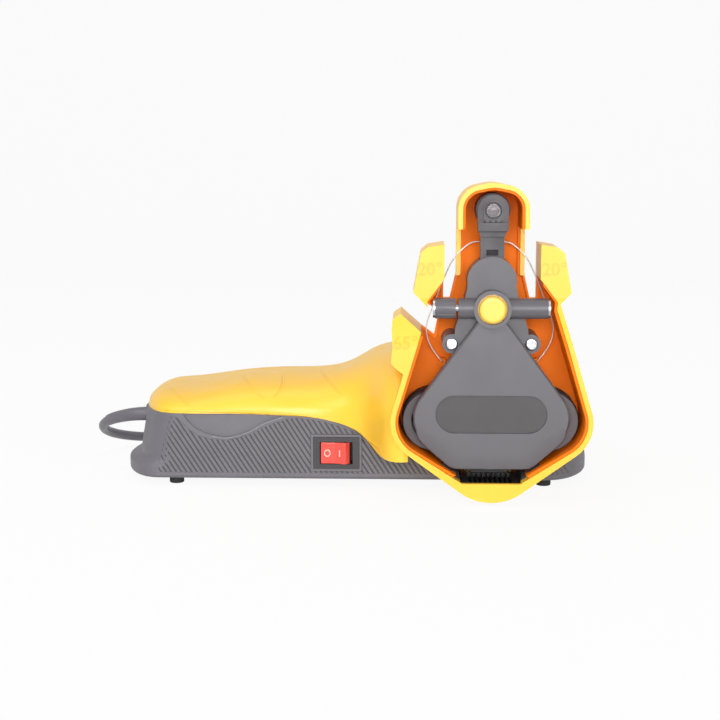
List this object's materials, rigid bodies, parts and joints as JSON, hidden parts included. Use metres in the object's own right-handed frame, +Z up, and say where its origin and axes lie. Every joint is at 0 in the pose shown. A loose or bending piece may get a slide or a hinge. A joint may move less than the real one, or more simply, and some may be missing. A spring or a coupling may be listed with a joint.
{
  "type": "electric knife sharpener",
  "caption": "Corded electric belt sharpener: grey base, yellow grip and open drive head with knife and scissor slots, tension arm, drive wheels, rocker switch and cord.",
  "frame": {"origin": "under the middle of the base, on the surface that the feet stand on", "axes": "+X along the body towards the head, -Y towards the open front of the head, +Z up"},
  "size_m": [0.243, 0.216, 0.141],
  "materials": {
    "housing_grey": "dark grey, satin moulded plastic",
    "housing_yellow": "golden yellow, satin moulded plastic",
    "lining_orange": "orange, satin moulded plastic",
    "drive_grey": "mid grey, satin moulded plastic",
    "badge_grey": "dark grey, matt",
    "wheel_grey": "dark grey glass-filled plastic",
    "black_plastic": "black, matt",
    "button_yellow": "yellow, polished",
    "switch_red": "red, translucent, polished",
    "switch_black": "black, polished",
    "rubber_black": "black, matt",
    "cord_grey": "dark grey, satin flexible vinyl",
    "bright_steel": "zinc plated, bright",
    "steel": "turned steel",
    "motor_steel": "rolled and zinc plated",
    "magnet": "sintered ferrite",
    "copper": "enamelled copper and laminations",
    "bronze": "oil-filled sintered bronze",
    "brass": "stamped brass",
    "board_green": "green laminate",
    "lead_red": "insulated wire"
  },
  "bodies": {
    "housing": {"base_tub": "housing_grey", "grip_shell": "housing_yellow", "head_shell": "housing_yellow", "head_liner": "lining_orange", "dust_grille": "black_plastic", "blade_spring_wire": "steel", "belt_frame": "drive_grey", "frame_screws": "bright_steel", "cross_barrel": "drive_grey", "cross_axle": "bright_steel", "button_spring": "steel", "drive_cover": "drive_grey", "cover_badge": "badge_grey", "arm_spring": "steel", "motor_can": "motor_steel", "motor_end_cap": "black_plastic", "motor_magnets": "magnet", "motor_bracket": "motor_steel", "motor_screws": "bright_steel", "switch_body": "switch_black", "rubber_feet": "rubber_black", "base_screws": "steel", "power_board": "board_green", "motor_leads": "lead_red", "cord_gland": "rubber_black", "cord_clamp": "housing_grey", "power_cord": "cord_grey", "cord_coil": "cord_grey", "cord_tie": "black_plastic", "cord_plug": "cord_grey", "plug_pins": "brass", "left_wheel_axle": "steel", "right_wheel_axle": "steel"},
    "knob": {"tracking_knob": "drive_grey"},
    "button": {"release_button": "button_yellow"},
    "arm": {"tension_arm": "drive_grey", "idler_axle": "steel"},
    "idler": {"idler_pulley": "wheel_grey", "idler_bush": "bronze"},
    "rotor": {"motor_rotor": "copper", "motor_gear": "black_plastic"},
    "left_wheel": {"left_wheel_hub": "wheel_grey", "left_tyre": "rubber_black", "left_wheel_bush": "bronze", "left_wheel_gear": "black_plastic"},
    "right_wheel": {"right_wheel_hub": "wheel_grey", "right_tyre": "rubber_black", "right_wheel_bush": "bronze", "right_wheel_gear": "black_plastic"},
    "rocker": {"switch_rocker": "switch_red"}
  },
  "joints": [
    {"name": "rotor_spin", "type": "hinge", "parent": "housing", "child": "rotor", "pos_m": [0.0615, 0, 0.02422], "axis": [0, 1, 0], "continuous": true},
    {"name": "left_wheel_spin", "type": "hinge", "parent": "housing", "child": "left_wheel", "pos_m": [0.0361, -0.038, 0.036], "axis": [0, 1, 0], "continuous": true},
    {"name": "right_wheel_spin", "type": "hinge", "parent": "housing", "child": "right_wheel", "pos_m": [0.0869, -0.038, 0.036], "axis": [0, 1, 0], "continuous": true},
    {"name": "arm_slide", "type": "slide", "parent": "housing", "child": "arm", "axis": [0, 0, -1], "range_m": [0, 0.008], "stiffness_N_per_m": 600, "springref_m": -0.004, "deforming": ["arm_spring"]},
    {"name": "idler_spin", "type": "hinge", "parent": "arm", "child": "idler", "pos_m": [0.0615, -0.04, 0.129], "axis": [0, 1, 0], "continuous": true},
    {"name": "button_press", "type": "slide", "parent": "housing", "child": "button", "axis": [0, 1, 0], "range_m": [0, 0.0025], "stiffness_N_per_m": 400, "springref_m": -0.002, "deforming": ["button_spring"]},
    {"name": "knob_turn", "type": "hinge", "parent": "housing", "child": "knob", "pos_m": [0.0411, -0.05065, 0.0865], "axis": [1, 0, 0], "continuous": true},
    {"name": "rocker_tilt", "type": "hinge", "parent": "housing", "child": "rocker", "pos_m": [-0.0082, -0.0199, 0.0162], "axis": [0, 0, 1], "range_deg": [0, 20]}
  ],
  "couplings": [
    {"joint": "left_wheel_spin", "follows": "rotor_spin", "ratio": -1.5},
    {"joint": "right_wheel_spin", "follows": "rotor_spin", "ratio": -1.5}
  ]
}
